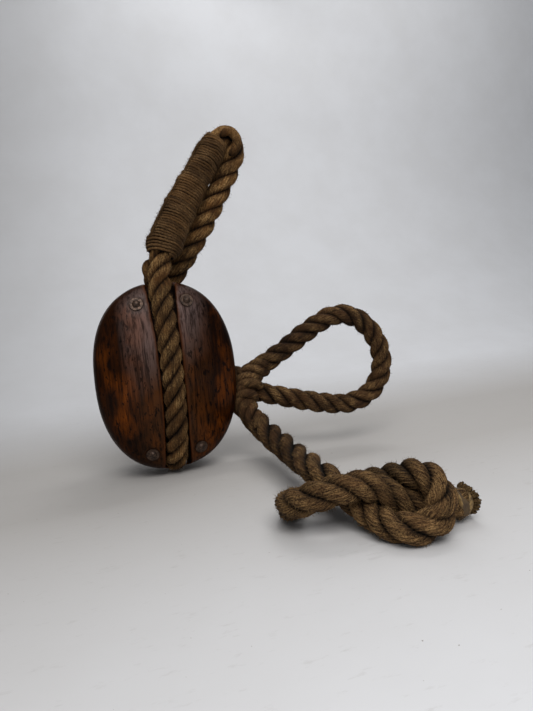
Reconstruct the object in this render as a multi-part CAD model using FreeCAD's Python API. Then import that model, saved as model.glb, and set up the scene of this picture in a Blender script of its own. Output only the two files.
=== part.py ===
import FreeCAD, Part
import os
from math import cos, hypot, pi, radians, sin, tan

from FreeCAD import Vector

# A made single block: a wooden shell of two cheeks and two chocks riveted together, one sheave
# on a fixed pin, a rope strop with a served eye, and a fall rove round the sheave.
# Millimetres. The origin is the sheave's centre, +Y is the sheave's axis, +Z points up to the
# strop's eye, and the front cheek is on -Y. The block stands on the strop under its tail.

# Driving dimensions of the shell
SHELL_LENGTH = 203.0          # an 8 inch block
SHELL_WIDTH = 152.0
OUTLINE_POWER = 2.3           # a little fuller than an ellipse
SWALLOW = 32.0                # gap between the cheeks
RIM_INSIDE = 0.975            # outline's size at a cheek's inner face, as part of the full one
RIM_Y = 22.0                  # where the outline is at its full size
DOME_RISE = 25.0              # from there to the crown of a cheek
DOME_POWER = 2.2
DOME_STEPS = (0.0, 0.22, 0.42, 0.60, 0.75, 0.87, 0.95, 0.985, 0.998)
OUTLINE_POINTS = 32
CHOCK_BORE = 73.5             # radius of the chocks' hollow inner faces
CHOCK_HALF_WIDTH = 36.0

# Ropes
STROP_D = 24.0
FALL_D = 23.0
SPLICE_D = 27.0               # the fall where the eye's strands are tucked into it
THROAT_D = 30.0               # the knob of crossing strands at the eye's throat
THROAT = (95, -7, -34)
SCORE_GAP = 0.35              # between the strop and the wood it lies in
SERVING_LOW_D = 35.0
SERVING_HIGH_D = 30.0
STRAND_D = 10.0
STRAND_END = ((-9, -15, 110), (-7, -13, 122))    # a tucked strand's end, below the serving
SHEAVE_ROPE_R = 59.5          # the fall's centreline round the sheave

# Sheave and pin
SHEAVE_D = 113.0
SHEAVE_THICKNESS = 30.0
GROOVE_GAP = 0.8
SHEAVE_DISH = 1.6             # shallow turned recess in each face
PIN_D = 20.0
PIN_CLEARANCE = 0.05          # radial, in the bush
PIN_HEAD = 26.0               # square head
PIN_HEAD_THICKNESS = 4.0
PIN_END = 33.5
BUSH_D = 30.0
COAK_LOBE_R = 9.0
COAK_LOBE_CENTRE = 19.0
COAK_THICKNESS = 3.0
COAK_RIVET_D = 4.5

# Shell rivets and their roves
RIVET_X = 26.3
RIVET_Z = 80.0
RIVET_D = 5.6
RIVET_HEAD_D = 8.4
RIVET_HEAD_H = 2.6
ROVE_D = 13.6
ROVE_THICKNESS = 1.6

# Rope's end
WHIPPING_D = 25.0
WHIPPING_LENGTH = 10.0
FRAY_D = 27.0
FRAY_LENGTH = 8.0

HALF_SWALLOW = SWALLOW / 2
FRONT = -1
REAR = 1
SIDES = (("front", FRONT), ("rear", REAR))


def round_sheave(angle):
    """A route point whose runs are tangent to the rope's circle round the sheave."""
    reach = SHEAVE_ROPE_R / cos(radians(15))
    return (reach * cos(radians(angle)), 0, reach * sin(radians(angle)))


# The fall's route, by hand: from the end spliced at the throat, out and round the eye, back to
# the throat, into the swallow, over the sheave and out again below, then down to the stopper
# knot on the floor and its whipped end.
EYE_POINTS = [
    (104, -8, -34), (124, -13, -40), (152, -20, -48), (182, -26, -57), (211, -31, -62),
    (238, -36, -51), (254, -40, -22), (251, -39, 12), (234, -35, 39), (207, -30, 48),
    (178, -24, 36), (149, -18, 17), (120, -11, 0), (92, -3, -15),
]
SHEAVE_POINTS = [(75, 0, -12), (63, 0, 8)]
SHEAVE_POINTS += [round_sheave(angle) for angle in range(30, 290, 30)]
SHEAVE_POINTS += [(24, 0, -55), (48, 0, -46)]
TAIL_POINTS = [
    (66, 0, -42), (80, -1, -44), (90, -10, -51), (95, -26, -62), (98, -50, -71),
    (101, -90, -79), (100, -135, -81), (96, -180, -78),
]
KNOT_POINTS = [
    (90, -213, -77), (93, -243, -93), (97, -267, -98), (108, -284, -98), (125, -291, -98),
    (142, -291, -96), (154, -285, -82), (159, -269, -70), (161, -246, -72), (154, -224, -83),
    (140, -203, -91), (120, -193, -97), (97, -189, -98), (74, -192, -98), (59, -206, -96),
    (55, -228, -86), (68, -246, -77), (90, -253, -73), (112, -255, -76), (130, -258, -87),
    (146, -266, -95), (163, -270, -96), (183, -269, -95),
]
FALL_POINTS = EYE_POINTS + SHEAVE_POINTS + TAIL_POINTS + KNOT_POINTS

# The strop's route, by hand: from the middle of the served leg down the front score, under the
# tail, up the rear score, up the bare leg, round the eye's tip and back down the served leg. Its
# two ends almost meet inside the serving.
STROP_POINTS = [
    (38, -9, 185), (22, -12, 161), (10, -16, 138), (3, -20, 115), (0, -28, 93),
    (1, -39, 68), (2, -47, 36), (2, -49, 0), (2, -47, -36), (1, -39, -67),
    (0, -26, -89), (0, -9, -98), (0, 9, -98), (0, 26, -89), (0, 39, -67),
    (0, 47, -36), (0, 49, 0), (0, 47, 36), (1, 43, 63), (4, 37, 85),
    (19, 27, 103), (37, 18, 124), (55, 12, 147), (71, 10, 171), (86, 8, 196),
    (99, 6, 220), (108, 4, 242), (109, 3, 258), (96, 1, 267), (80, -1, 260),
    (66, -4, 235), (52, -6, 210), (38.4, -8.9, 185.7),
]


def vectors(points):
    return [Vector(*point) for point in points]


def tube_edges(points, first=None, last=None):
    """Straight runs joined by tangent arcs, from the middle of one run to that of another."""
    route = vectors(points)
    runs = [b - a for a, b in zip(route, route[1:])]
    corners = []
    for index in range(1, len(route) - 1):
        before, after = runs[index - 1], runs[index]
        half_turn = before.getAngle(after) / 2
        reach = 0.45 * min(before.Length, after.Length)
        radius = reach / tan(half_turn)
        ahead = Vector(after).normalize()
        behind = -Vector(before).normalize()
        inward = (ahead + behind).normalize()
        depth = hypot(radius, reach) - radius
        corners.append((index, radius, route[index] + behind * reach,
                        route[index] + inward * depth, route[index] + ahead * reach))
    start = route[0] if first is None else (route[first] + route[first + 1]) / 2
    end = route[-1] if last is None else (route[last] + route[last + 1]) / 2
    low = 0 if first is None else first
    high = len(route) - 2 if last is None else last
    edges = []
    radii = []
    here = start
    for index, radius, enter, middle, leave in corners:
        if low < index <= high:
            edges.append(Part.LineSegment(here, enter).toShape())
            edges.append(Part.Arc(enter, middle, leave).toShape())
            radii.append(round(radius))
            here = leave
    edges.append(Part.LineSegment(here, end).toShape())
    return edges, radii


def tube(name, points, diameter, first=None, last=None):
    """A round solid along a route; prints its bend radii and how its volume compares."""
    edges, radii = tube_edges(points, first, last)
    wire = Part.Wire(edges)
    start = edges[0].valueAt(edges[0].FirstParameter)
    along = edges[0].tangentAt(edges[0].FirstParameter)
    ring = Part.Wire(Part.Circle(start, along, diameter / 2).toShape())
    solid = wire.makePipe(Part.Face(ring))
    if solid.ShapeType != "Solid":
        solid = solid.Solids[0]
    ratio = solid.Volume / (pi * diameter ** 2 / 4 * wire.Length)
    print(f"{name}: length {wire.Length:.1f}, volume ratio {ratio:.4f}, radii {radii}")
    return solid


def outline(scale, y):
    """The shell's outline at one depth, as a closed smooth curve."""
    points = []
    for step in range(OUTLINE_POINTS):
        angle = 2 * pi * step / OUTLINE_POINTS
        c, s = cos(angle), sin(angle)
        reach = (abs(c) ** OUTLINE_POWER + abs(s) ** OUTLINE_POWER) ** (-1 / OUTLINE_POWER)
        points.append(Vector(scale * SHELL_WIDTH / 2 * reach * c, y,
                             scale * SHELL_LENGTH / 2 * reach * s))
    curve = Part.BSplineCurve()
    curve.interpolate(Points=points, PeriodicFlag=True)
    return Part.Wire(curve.toShape())


def dome_scale(step):
    """The outline's size at a part of the dome's rise."""
    return (1 - step ** DOME_POWER) ** (1 / DOME_POWER)


def cheek_blank(side):
    """One cheek before it is scored and bored: flat inside, rounded rim, domed outside."""
    sections = [(RIM_INSIDE, HALF_SWALLOW), (0.994, HALF_SWALLOW + 2.5)]
    sections += [(dome_scale(step), RIM_Y + DOME_RISE * step) for step in DOME_STEPS]
    wires = [outline(scale, side * y) for scale, y in sections]
    return Part.makeLoft(wires, True, False)


def dome_height(x, z):
    """How far the cheek's surface stands from the middle plane, at x and z."""
    size = ((abs(x) * 2 / SHELL_WIDTH) ** OUTLINE_POWER
            + (abs(z) * 2 / SHELL_LENGTH) ** OUTLINE_POWER) ** (1 / OUTLINE_POWER)
    return RIM_Y + DOME_RISE * (1 - size ** DOME_POWER) ** (1 / DOME_POWER)


def dome_normal(x, z, side):
    """The outward direction of the cheek's surface at x and z."""
    step = 1.0
    slope_x = (dome_height(x + step, z) - dome_height(x - step, z)) / (2 * step)
    slope_z = (dome_height(x, z + step) - dome_height(x, z - step)) / (2 * step)
    return Vector(-slope_x, side, -slope_z).normalize()


def score_flares(side):
    """The score opens out a little where the strop leaves the shell at the crown and tail."""
    crown = Part.makeCone(STROP_D / 2, 16.0, 62, Vector(1, side * 47, 46), Vector(0, -side * 0.36, 1))
    tail = Part.makeCone(STROP_D / 2, 14.5, 58, Vector(1, side * 47, -46), Vector(0, -side * 0.36, -1))
    return [crown, tail]


def pin_head():
    """The pin's square head, let into the bottom of the rear score."""
    corner = Vector(-PIN_HEAD / 2, PIN_END - PIN_HEAD_THICKNESS, -PIN_HEAD / 2)
    return Part.makeBox(PIN_HEAD, PIN_HEAD_THICKNESS, PIN_HEAD, corner)


def rivet_places():
    """The four rivets: name and place."""
    return [
        ("crown_left", -RIVET_X, RIVET_Z), ("crown_right", RIVET_X, RIVET_Z),
        ("tail_left", -RIVET_X, -RIVET_Z), ("tail_right", RIVET_X, -RIVET_Z),
    ]


def rove_place(x, z, side):
    """Where a rove's outer face lies, level with the wood, and which way it faces."""
    return Vector(x, side * (dome_height(x, z) + 0.4), z), dome_normal(x, z, side)


def rove_disc(x, z, side, diameter, thickness):
    face, outward = rove_place(x, z, side)
    return Part.makeCylinder(diameter / 2, thickness, face - outward * thickness, outward)


def rivet(x, z):
    """A shank through the whole shell with a domed head on each rove."""
    reach = dome_height(x, z) + 0.8
    solid = Part.makeCylinder(RIVET_D / 2, 2 * reach, Vector(x, -reach, z), Vector(0, 1, 0))
    for _, side in SIDES:
        face, outward = rove_place(x, z, side)
        half = RIVET_HEAD_D / 2
        ball = (half ** 2 + RIVET_HEAD_H ** 2) / (2 * RIVET_HEAD_H)
        sphere = Part.makeSphere(ball, face + outward * (RIVET_HEAD_H - ball))
        keep = Part.makeCylinder(ball, ball, face, outward)
        solid = solid.fuse(sphere.common(keep))
    return solid.removeSplitter()


def coak_shape(thickness, y, gap=0.0):
    """A three-lobed plate round the bush."""
    plate = Part.makeCylinder(BUSH_D / 2 + 2 + gap, thickness, Vector(0, y, 0), Vector(0, 1, 0))
    for lobe in range(3):
        angle = radians(90 + 120 * lobe)
        centre = Vector(COAK_LOBE_CENTRE * cos(angle), y, COAK_LOBE_CENTRE * sin(angle))
        plate = plate.fuse(Part.makeCylinder(COAK_LOBE_R + gap, thickness, centre, Vector(0, 1, 0)))
    return plate.removeSplitter()


def coak_rivet_shanks():
    shanks = []
    for lobe in range(3):
        angle = radians(90 + 120 * lobe)
        centre = Vector((COAK_LOBE_CENTRE + 2) * cos(angle), -SHEAVE_THICKNESS / 2 + SHEAVE_DISH,
                        (COAK_LOBE_CENTRE + 2) * sin(angle))
        length = SHEAVE_THICKNESS - 2 * SHEAVE_DISH
        shanks.append(Part.makeCylinder(COAK_RIVET_D / 2, length, centre, Vector(0, 1, 0)))
    return shanks


def y_cylinder(diameter, half_length):
    return Part.makeCylinder(diameter / 2, 2 * half_length, Vector(0, -half_length, 0), Vector(0, 1, 0))


def make_sheave():
    """Sheave, bush, two coaks and the three rivets that hold the coaks."""
    half = SHEAVE_THICKNESS / 2
    inner_half = half - SHEAVE_DISH
    sheave = y_cylinder(SHEAVE_D, half)
    groove = Part.makeTorus(SHEAVE_ROPE_R, FALL_D / 2 + GROOVE_GAP, Vector(0, 0, 0), Vector(0, 1, 0))
    sheave = sheave.cut(groove)
    for _, side in SIDES:
        start = side * inner_half if side > 0 else -half
        dish = Part.makeCylinder(40, SHEAVE_DISH, Vector(0, start, 0), Vector(0, 1, 0))
        sheave = sheave.cut(dish)
        coak_start = inner_half - COAK_THICKNESS if side > 0 else -inner_half
        sheave = sheave.cut(coak_shape(COAK_THICKNESS, coak_start))
    sheave = sheave.cut(y_cylinder(BUSH_D, half + 1))
    shanks = coak_rivet_shanks()
    coaks = {}
    for name, side in SIDES:
        coak_start = inner_half - COAK_THICKNESS if side > 0 else -inner_half
        plate = coak_shape(COAK_THICKNESS, coak_start).cut(y_cylinder(BUSH_D, half + 1))
        for shank in shanks:
            plate = plate.cut(shank)
        coaks[name] = plate
    for shank in shanks:
        sheave = sheave.cut(shank)
    bush = y_cylinder(BUSH_D, half).cut(y_cylinder(PIN_D + 2 * PIN_CLEARANCE, half + 1))
    return {
        "sheave": sheave,
        "sheave_bush": bush,
        "coak_front": coaks["front"],
        "coak_rear": coaks["rear"],
        "coak_rivets": Part.makeCompound(shanks),
    }


def make_pin():
    """A fixed pin from score to score, with a square head let into the rear cheek."""
    pin = y_cylinder(PIN_D, PIN_END)
    return pin.fuse(pin_head()).removeSplitter()


def make_strop():
    """The strop's rope ring, cut open at its splice inside the serving."""
    return tube("strop", STROP_POINTS, STROP_D)


def make_shell(strop_space):
    """Two cheeks and two chocks, scored for the strop and drilled for pin and rivets."""
    shank_holes = [Part.makeCylinder(RIVET_D / 2, 120, Vector(x, -60, z), Vector(0, 1, 0))
                   for _, x, z in rivet_places()]
    shell = {}
    for name, side in SIDES:
        cheek = cheek_blank(side)
        cheek = cheek.cut(strop_space)
        for flare in score_flares(side):
            cheek = cheek.cut(flare)
        cheek = cheek.cut(y_cylinder(PIN_D, 60))
        if side == REAR:
            cheek = cheek.cut(pin_head())
        for hole in shank_holes:
            cheek = cheek.cut(hole)
        for _, x, z in rivet_places():
            cheek = cheek.cut(rove_disc(x, z, side, ROVE_D, ROVE_THICKNESS + 6).translated(
                dome_normal(x, z, side) * 6))
        shell[f"{name}_cheek"] = cheek
    body = Part.makeLoft([outline(RIM_INSIDE, -HALF_SWALLOW), outline(RIM_INSIDE, HALF_SWALLOW)], True, True)
    hollow = y_cylinder(2 * CHOCK_BORE, HALF_SWALLOW + 1)
    for name, base in (("crown_chock", 0), ("tail_chock", -SHELL_LENGTH)):
        keep = Part.makeBox(2 * CHOCK_HALF_WIDTH, SWALLOW, SHELL_LENGTH,
                            Vector(-CHOCK_HALF_WIDTH, -HALF_SWALLOW, base))
        chock = body.common(keep).cut(hollow).cut(strop_space)
        for hole in shank_holes:
            chock = chock.cut(hole)
        shell[name] = chock
    return shell


def make_rivets():
    """Four rivets and the eight roves they are closed over."""
    pieces = {}
    for place, x, z in rivet_places():
        shank = rivet(x, z)
        pieces[f"rivet_{place}"] = shank
        for name, side in SIDES:
            rove = rove_disc(x, z, side, ROVE_D, ROVE_THICKNESS).cut(shank)
            pieces[f"rove_{place}_{name}"] = rove
    return pieces


def make_strop_trim(strop_solid):
    """The marline serving over the splice, and the strand end that stands out below it."""
    low = tube("serving_low", STROP_POINTS[30:33] + STROP_POINTS[1:4], SERVING_LOW_D, 1, 4)
    high = tube("serving_high", STROP_POINTS[28:33] + STROP_POINTS[1:3], SERVING_HIGH_D, 0, 4)
    serving = low.fuse(high).cut(strop_solid)
    parts = sorted(serving.Solids, key=lambda solid: -solid.Volume)
    low_end, high_end = vectors(STRAND_END)
    knuckle = Part.makeCylinder(STRAND_D / 2, (high_end - low_end).Length, low_end, high_end - low_end)
    for end in (low_end, high_end):
        knuckle = knuckle.fuse(Part.makeSphere(STRAND_D / 2, end))
    knuckle = knuckle.removeSplitter().cut(strop_solid)
    return {"strop_serving": parts[0], "strop_strand_end": knuckle}


def make_fall():
    """The fall in its stretches, which meet face to face, and what is on it."""
    eye_end = len(EYE_POINTS) - 1
    sheave_end = eye_end + len(SHEAVE_POINTS)
    tail_end = sheave_end + len(TAIL_POINTS)
    pieces = {
        "fall_eye": tube("fall_eye", FALL_POINTS, FALL_D, None, eye_end),
        "fall_round_sheave": tube("fall_round_sheave", FALL_POINTS, FALL_D, eye_end, sheave_end),
        "fall_tail": tube("fall_tail", FALL_POINTS, FALL_D, sheave_end, tail_end),
        "fall_knot": tube("fall_knot", FALL_POINTS, FALL_D, tail_end, None),
    }
    splice = tube("fall_splice", FALL_POINTS, SPLICE_D, sheave_end + 4, sheave_end + 5)
    splice = splice.fuse(Part.makeSphere(THROAT_D / 2, Vector(*THROAT)))
    for name in ("fall_tail", "fall_eye", "fall_round_sheave"):
        splice = splice.cut(pieces[name])
    pieces["fall_splice"] = sorted(splice.Solids, key=lambda solid: -solid.Volume)[0]
    last, before = vectors(FALL_POINTS)[-1], vectors(FALL_POINTS)[-2]
    along = (last - before).normalize()
    band = Part.makeCylinder(WHIPPING_D / 2, WHIPPING_LENGTH, last - along * WHIPPING_LENGTH, along)
    core = Part.makeCylinder(FALL_D / 2, WHIPPING_LENGTH, last - along * WHIPPING_LENGTH, along)
    pieces["fall_whipping"] = band.cut(core)
    pieces["fall_frayed_end"] = Part.makeCone(FALL_D / 2 - 1, FRAY_D / 2, FRAY_LENGTH, last, along)
    return pieces


def build():
    """Every sub-part, by name."""
    strop_solid = make_strop()
    strop_space = tube("strop_space", STROP_POINTS, STROP_D + 2 * SCORE_GAP, 2, 21)
    pieces = make_shell(strop_space)
    pieces.update(make_rivets())
    pieces.update(make_sheave())
    pieces["pin"] = make_pin()
    pieces["strop_rope"] = strop_solid
    pieces.update(make_strop_trim(strop_solid))
    pieces.update(make_fall())
    return pieces


os.makedirs("parts", exist_ok=True)
for node, shape in build().items():
    solids = len(shape.Solids)
    print(f"{node}: {solids} solid(s), valid {shape.isValid()}, volume {shape.Volume:.0f}")
    shape.exportStep(f"parts/{node}.step")
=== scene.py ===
"""Looks of a single sheave block with its rope strop and rope fall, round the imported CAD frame.

Metres, in the frame's own axes: the origin is the sheave's centre, +Y the sheave's axis, +Z up.
"""
from math import cos, pi, radians, sin, tau

import bmesh
import bpy
import numpy as np
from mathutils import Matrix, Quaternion, Vector


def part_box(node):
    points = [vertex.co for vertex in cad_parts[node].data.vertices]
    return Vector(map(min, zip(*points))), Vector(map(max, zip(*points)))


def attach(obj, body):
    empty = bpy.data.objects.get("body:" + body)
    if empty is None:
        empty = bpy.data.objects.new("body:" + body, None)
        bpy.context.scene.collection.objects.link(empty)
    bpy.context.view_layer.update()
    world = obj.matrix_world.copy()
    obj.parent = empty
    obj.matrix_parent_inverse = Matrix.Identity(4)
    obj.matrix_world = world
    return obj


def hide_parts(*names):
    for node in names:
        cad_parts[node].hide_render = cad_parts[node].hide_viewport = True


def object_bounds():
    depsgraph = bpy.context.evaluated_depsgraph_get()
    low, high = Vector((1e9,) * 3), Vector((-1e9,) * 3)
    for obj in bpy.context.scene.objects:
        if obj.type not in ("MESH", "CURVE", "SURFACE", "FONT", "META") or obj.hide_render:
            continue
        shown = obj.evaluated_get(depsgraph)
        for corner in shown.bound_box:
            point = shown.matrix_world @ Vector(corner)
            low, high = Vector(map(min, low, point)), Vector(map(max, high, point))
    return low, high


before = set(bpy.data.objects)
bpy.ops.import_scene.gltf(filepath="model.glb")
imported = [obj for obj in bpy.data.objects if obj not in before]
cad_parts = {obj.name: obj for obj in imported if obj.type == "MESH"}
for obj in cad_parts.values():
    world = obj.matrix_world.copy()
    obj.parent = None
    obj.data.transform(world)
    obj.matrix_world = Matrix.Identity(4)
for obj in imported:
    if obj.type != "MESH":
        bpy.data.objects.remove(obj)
cad_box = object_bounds()

# Ropes
STROP_DIAMETER = 0.024
FALL_DIAMETER = 0.023
STROP_LAY = 0.060             # one turn of a strand, along the rope
FALL_LAY = 0.056
STRAND_REACH = 0.262          # strand's centre from the rope's, in rope diameters
STRAND_RADIUS = 0.250         # in rope diameters
STRAND_STEP = 0.00205         # between a strand's rings
YARNS = 11                    # round one strand
YARN_PROFILE = (-1.0, 0.25, 0.75, 0.25)   # across one yarn's outside, in parts of its relief
YARN_SIDES = len(YARN_PROFILE)
YARN_RELIEF = 0.00042
YARN_TURNS = 2.2              # turns of the yarns back, for each turn of the strand
MARLINE_DIAMETER = 0.0030

SHEAVE_ROPE_RADIUS = 0.0595

# Camera
VIEW_AZIMUTH = radians(7.0)
VIEW_ELEVATION = radians(6.5)
VIEW_DISTANCE = 0.612
VIEW_ROLL = radians(5.1)
VIEW_AIM = Vector((0.1137, -0.0241, 0.0094))
LENS_MM = 27.04

# Surroundings
FLOOR_Z = -0.1101
SWEEP_START = 0.30
SWEEP_RADIUS = 0.80


def round_sheave(angle):
    """A route point whose runs are tangent to the rope's circle round the sheave."""
    reach = SHEAVE_ROPE_RADIUS / cos(radians(15))
    return (reach * cos(radians(angle)), 0, reach * sin(radians(angle)))


EYE_POINTS = [
    (0.093, -0.004, -0.030), (0.120, -0.012, -0.039), (0.152, -0.020, -0.048),
    (0.182, -0.026, -0.056), (0.210, -0.031, -0.060), (0.238, -0.036, -0.050),
    (0.254, -0.040, -0.022), (0.251, -0.039, 0.012), (0.232, -0.035, 0.041),
    (0.204, -0.030, 0.051), (0.175, -0.024, 0.038), (0.147, -0.018, 0.019),
    (0.119, -0.011, 0.001), (0.092, -0.003, -0.015),
]
SHEAVE_POINTS = [(0.075, 0, -0.012), (0.063, 0, 0.008)]
SHEAVE_POINTS += [round_sheave(angle) for angle in range(30, 290, 30)]
SHEAVE_POINTS += [(0.024, 0, -0.055), (0.048, 0, -0.046)]
TAIL_POINTS = [
    (0.062, 0.000, -0.043), (0.075, -0.001, -0.045), (0.084, -0.010, -0.051),
    (0.091, -0.026, -0.062), (0.096, -0.050, -0.071), (0.101, -0.090, -0.079),
    (0.100, -0.135, -0.081), (0.096, -0.180, -0.078),
]
KNOT_POINTS = [
    (0.094, -0.213, -0.077), (0.106, -0.238, -0.090), (0.112, -0.260, -0.097),
    (0.116, -0.279, -0.098), (0.128, -0.290, -0.098), (0.143, -0.291, -0.096),
    (0.154, -0.285, -0.082), (0.153, -0.273, -0.070), (0.147, -0.259, -0.069),
    (0.140, -0.243, -0.076), (0.127, -0.226, -0.083), (0.112, -0.207, -0.092),
    (0.097, -0.192, -0.098), (0.075, -0.193, -0.098), (0.061, -0.206, -0.096),
    (0.057, -0.228, -0.086), (0.069, -0.246, -0.077), (0.090, -0.252, -0.072),
    (0.112, -0.255, -0.0735), (0.131, -0.259, -0.0865), (0.147, -0.266, -0.0965),
    (0.163, -0.270, -0.0975), (0.182, -0.269, -0.095),
]
KNOT_MIDDLE = (0.137, -0.232, -0.076)     # painted shade inside the knot is darkest round it

STROP_POINTS = [
    (0.038, -0.009, 0.185), (0.022, -0.012, 0.161), (0.010, -0.016, 0.138),
    (0.003, -0.020, 0.115), (0.000, -0.028, 0.093), (0.001, -0.039, 0.068),
    (0.002, -0.047, 0.036), (0.002, -0.049, 0.000), (0.002, -0.047, -0.036),
    (0.001, -0.039, -0.067), (0.000, -0.026, -0.089), (0.000, -0.009, -0.098),
    (0.000, 0.009, -0.098), (0.000, 0.026, -0.089), (0.000, 0.039, -0.067),
    (0.000, 0.047, -0.036), (0.000, 0.049, 0.000), (0.000, 0.047, 0.036),
    (0.001, 0.043, 0.063), (0.004, 0.037, 0.085), (0.018, 0.027, 0.103),
    (0.034, 0.018, 0.124), (0.050, 0.013, 0.147), (0.0655, 0.011, 0.171),
    (0.0805, 0.010, 0.196), (0.094, 0.007, 0.220), (0.105, 0.004, 0.241),
    (0.108, 0.003, 0.256), (0.098, 0.001, 0.264), (0.085, -0.002, 0.257),
    (0.070, -0.005, 0.234), (0.054, -0.007, 0.210), (0.0384, -0.0089, 0.1857),
]


# Lines and noise

def smooth_line(points):
    """The smooth line that a route's points control."""
    curve = bpy.data.curves.new("route", "CURVE")
    curve.dimensions = "3D"
    curve.resolution_u = 24
    spline = curve.splines.new("NURBS")
    spline.points.add(len(points) - 1)
    for knot, point in zip(spline.points, points):
        knot.co = (*point, 1)
    spline.order_u = 3
    spline.use_endpoint_u = True
    holder = bpy.data.objects.new("route", curve)
    bpy.context.scene.collection.objects.link(holder)
    mesh = bpy.data.meshes.new_from_object(holder)
    line = np.array([vertex.co for vertex in mesh.vertices], float)
    bpy.data.objects.remove(holder)
    bpy.data.meshes.remove(mesh)
    bpy.data.curves.remove(curve)
    return line


def travelled(line):
    """The distance along a line at each of its points."""
    steps = np.linalg.norm(np.diff(line, axis=0), axis=1)
    return np.concatenate([[0.0], np.cumsum(steps)])


def even(line, step):
    """The line again, with points one step apart."""
    along = travelled(line)
    count = max(3, round(along[-1] / step) + 1)
    places = np.linspace(0, along[-1], count)
    return np.column_stack([np.interp(places, along, line[:, axis]) for axis in range(3)])


def pick(rows, places):
    """An array's rows, read at places that may lie between them."""
    index = np.arange(len(rows))
    return np.column_stack([np.interp(places, index, rows[:, axis]) for axis in range(rows.shape[1])])


def part_of(line, start, end):
    """The stretch of a line between two distances along it."""
    along = travelled(line)
    return line[(along >= start) & (along <= end)]


def unit(vectors):
    return vectors / np.linalg.norm(vectors, axis=-1, keepdims=True)


def turning_frame(line):
    """Directions along and across a line, without twist."""
    along = unit(np.gradient(line, axis=0))
    across = np.zeros_like(line)
    first = np.cross(along[0], (0.0, 0.0, 1.0))
    if np.linalg.norm(first) < 0.1:
        first = np.cross(along[0], (1.0, 0.0, 0.0))
    across[0] = unit(first)
    for index in range(1, len(line)):
        kept = across[index - 1] - along[index] * (across[index - 1] @ along[index])
        across[index] = unit(kept)
    return along, across, np.cross(along, across)


def wander(rng, count, every, columns=1):
    """Random numbers from -1 to 1 that change smoothly, with a new one at every so many steps."""
    knots = rng.uniform(-1, 1, (int(count / every) + 3, columns))
    place = np.arange(count) / every
    low = place.astype(int)
    part = (place - low)[:, None]
    part = part * part * (3 - 2 * part)
    return knots[low] * (1 - part) + knots[low + 1] * part


def cloud(points, size, seed):
    """Smooth noise from -1 to 1 in space, with lumps of that size."""
    place = points / size
    low = np.floor(place).astype(np.int64)
    part = place - low
    part = part * part * (3 - 2 * part)
    total = np.zeros(len(points))
    for corner in range(8):
        step = np.array([corner & 1, corner >> 1 & 1, corner >> 2 & 1])
        cell = low + step
        mixed = cell[:, 0] * 73856093 ^ cell[:, 1] * 19349663 ^ cell[:, 2] * 83492791 ^ seed * 7919
        mixed = (mixed ^ mixed >> 13) * 1274126177 & 0x7FFFFFFF
        share = np.prod(np.where(step, part, 1 - part), axis=1)
        total += share * (mixed % 65536 / 32767.5 - 1)
    return total


# Mesh building

def new_object(name, mesh, material):
    piece = bpy.data.objects.new(name, mesh)
    bpy.context.scene.collection.objects.link(piece)
    mesh.materials.append(material)
    return piece


def set_values(mesh, name, values):
    layer = mesh.attributes.new(name, "FLOAT", "POINT")
    layer.data.foreach_set("value", np.asarray(values, np.float32).ravel())


class Tubes:
    """Closed tubes gathered into one mesh, each a grid of rings with its ends closed."""

    def __init__(self):
        self.points, self.faces, self.marks = [], [], []
        self.values = {}
        self.count = 0

    def add(self, rings, **values):
        """rings is an array of rings x points x 3; each value spreads over rings x points."""
        length, sides = rings.shape[:2]
        grid = self.count + np.arange(length * sides).reshape(length, sides)
        right = np.roll(grid, -1, axis=1)
        quads = np.stack([grid[:-1], right[:-1], right[1:], grid[1:]], axis=-1).reshape(-1, 4)
        centres = rings[[0, -1]].mean(axis=1)
        start, end = self.count + length * sides, self.count + length * sides + 1
        caps = [(start, right[0, i], grid[0, i]) for i in range(sides)]
        caps += [(end, grid[-1, i], right[-1, i]) for i in range(sides)]
        self.points.append(np.concatenate([rings.reshape(-1, 3), centres]))
        self.faces.extend(quads.tolist())
        self.faces.extend(caps)
        along = travelled(rings.mean(axis=1))
        girth = np.arange(sides) / sides
        places = np.stack(np.broadcast_arrays(along[:, None], girth[None, :]), axis=-1)
        self.marks.append(np.concatenate([places.reshape(-1, 2), places[[0, -1], 0]]))
        for name, grid_values in values.items():
            flat = np.broadcast_to(grid_values, (length, sides)).reshape(-1)
            ends = [flat[:sides].mean(), flat[-sides:].mean()]
            self.values.setdefault(name, []).append(np.concatenate([flat, ends]))
        self.count += length * sides + 2

    def build(self, name, material):
        points = np.concatenate(self.points)
        points[:, 2] = np.maximum(points[:, 2], cad_box[0][2])
        mesh = bpy.data.meshes.new(name)
        mesh.from_pydata(points.tolist(), [], self.faces)
        for value, parts in self.values.items():
            set_values(mesh, value, np.concatenate(parts))
        marks = np.concatenate(self.marks)
        set_values(mesh, "along", marks[:, 0])
        set_values(mesh, "girth", marks[:, 1])
        mesh.shade_smooth()
        return new_object(name, mesh, material)


def around(sides):
    """One row of angles, evenly round a ring."""
    return tau * np.arange(sides)[None, :] / sides


def ring_grid(centres, outward, reach, angles):
    """Rings of points round a line of centres, at angles from the outward direction."""
    along = unit(np.gradient(centres, axis=0))
    up = unit(outward - along * np.sum(outward * along, axis=1, keepdims=True))
    side = np.cross(along, up)
    spread = np.cos(angles)[..., None] * up[:, None] + np.sin(angles)[..., None] * side[:, None]
    return centres[:, None] + reach[..., None] * spread


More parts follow.
